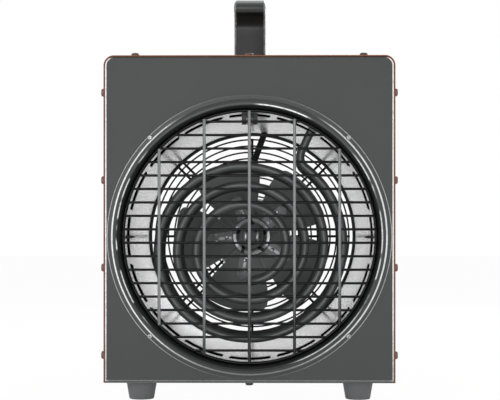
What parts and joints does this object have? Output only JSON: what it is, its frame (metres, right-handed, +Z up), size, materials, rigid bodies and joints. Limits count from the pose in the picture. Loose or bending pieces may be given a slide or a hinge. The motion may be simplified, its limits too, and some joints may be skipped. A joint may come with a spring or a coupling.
{
  "type": "portable fan heater",
  "caption": "Portable electric fan heater: sheet-metal box on rubber feet with a round guarded outlet, spiral heating tubes in a drum, an axial fan, carry handle and rear controls.",
  "frame": {"origin": "on the floor under the middle of the bounding box", "axes": "+Z up, +X to the right seen from the front, -Y out of the front outlet, +Y to the rear controls"},
  "size_m": [0.2908, 0.325, 0.4134],
  "materials": {
    "cover_brown": "semi-gloss copper-brown coat",
    "panel_grey": "satin grey powder coat",
    "ring_grey": "glossy dark grey enamel",
    "guard_black": "glossy black coated wire",
    "rear_guard_black": "black coated wire",
    "galvanised": "galvanised sheet",
    "element_tube": "heat-darkened tube",
    "steel": "plain steel",
    "copper_screw": "dull copper-coloured screws",
    "black_screw": "black screws",
    "blade_black": "black painted blades",
    "spider_alloy": "bright cast alloy",
    "motor_grey": "dark motor paint",
    "copper_winding": "enamelled copper wire",
    "lamination": "laminated steel",
    "rubber_grey": "moulded rubber",
    "handle_black": "moulded black plastic",
    "knob_black": "moulded black plastic",
    "control_plastic": "thermoset control bodies",
    "button_red": "red moulded plastic",
    "bush_ceramic": "unglazed bushes",
    "brass_part": "plain brass",
    "lead_black": "black sheathed flex"
  },
  "bodies": {
    "heater": {"base_plate": "galvanised", "base_screws": "copper_screw", "cable_gland": "knob_black", "casing_screws": "copper_screw", "casing_wrap": "cover_brown", "control_shelf": "galvanised", "drum_bracket_bottom": "galvanised", "drum_bracket_left": "galvanised", "drum_bracket_right": "galvanised", "drum_screws": "black_screw", "element_bushes": "bush_ceramic", "element_front": "element_tube", "element_link": "brass_part", "element_rear": "element_tube", "element_terminals": "brass_part", "foot_front_left": "rubber_grey", "foot_front_right": "rubber_grey", "foot_nuts": "steel", "foot_rear_left": "rubber_grey", "foot_rear_right": "rubber_grey", "foot_screws": "steel", "front_panel": "panel_grey", "gland_locknut": "knob_black", "handle": "handle_black", "handle_screws": "steel", "heat_drum": "galvanised", "limiter_body": "control_plastic", "limiter_bulb": "element_tube", "limiter_clips": "black_screw", "motor_bearing_front": "steel", "motor_bearing_rear": "steel", "motor_lead": "lead_black", "motor_plate": "galvanised", "motor_screws": "steel", "motor_shield_front": "motor_grey", "motor_shield_rear": "motor_grey", "motor_stator": "lamination", "motor_windings": "copper_winding", "outlet_guard": "guard_black", "outlet_ring": "ring_grey", "outlet_ring_screws": "black_screw", "rear_guard": "rear_guard_black", "rear_guard_screws": "black_screw", "rear_panel": "panel_grey", "reset_collar": "knob_black", "selector_body": "control_plastic", "terminal_block": "control_plastic", "thermostat_body": "control_plastic"},
    "fan": {"motor_shaft": "steel", "motor_rotor": "lamination", "fan_spider": "spider_alloy", "fan_blades": "blade_black", "fan_nut": "steel"},
    "thermostat": {"thermostat_spindle": "steel", "thermostat_knob": "knob_black"},
    "selector": {"selector_spindle": "steel", "selector_knob": "knob_black"},
    "reset": {"reset_button": "button_red"}
  },
  "joints": [
    {"name": "fan_spin", "type": "hinge", "parent": "heater", "child": "fan", "pos_m": [0, 0.0665, 0.1615], "axis": [0, 1, 0], "continuous": true},
    {"name": "thermostat_turn", "type": "hinge", "parent": "heater", "child": "thermostat", "pos_m": [0.042, 0.1435, 0.311], "axis": [0, -1, 0], "range_deg": [0, 270]},
    {"name": "selector_turn", "type": "hinge", "parent": "heater", "child": "selector", "pos_m": [-0.042, 0.1435, 0.311], "axis": [0, -1, 0], "range_deg": [0, 135]},
    {"name": "reset_press", "type": "slide", "parent": "heater", "child": "reset", "axis": [0, -1, 0], "range_m": [0, 0.002], "stiffness_N_per_m": 600, "springref_m": -0.002}
  ]
}
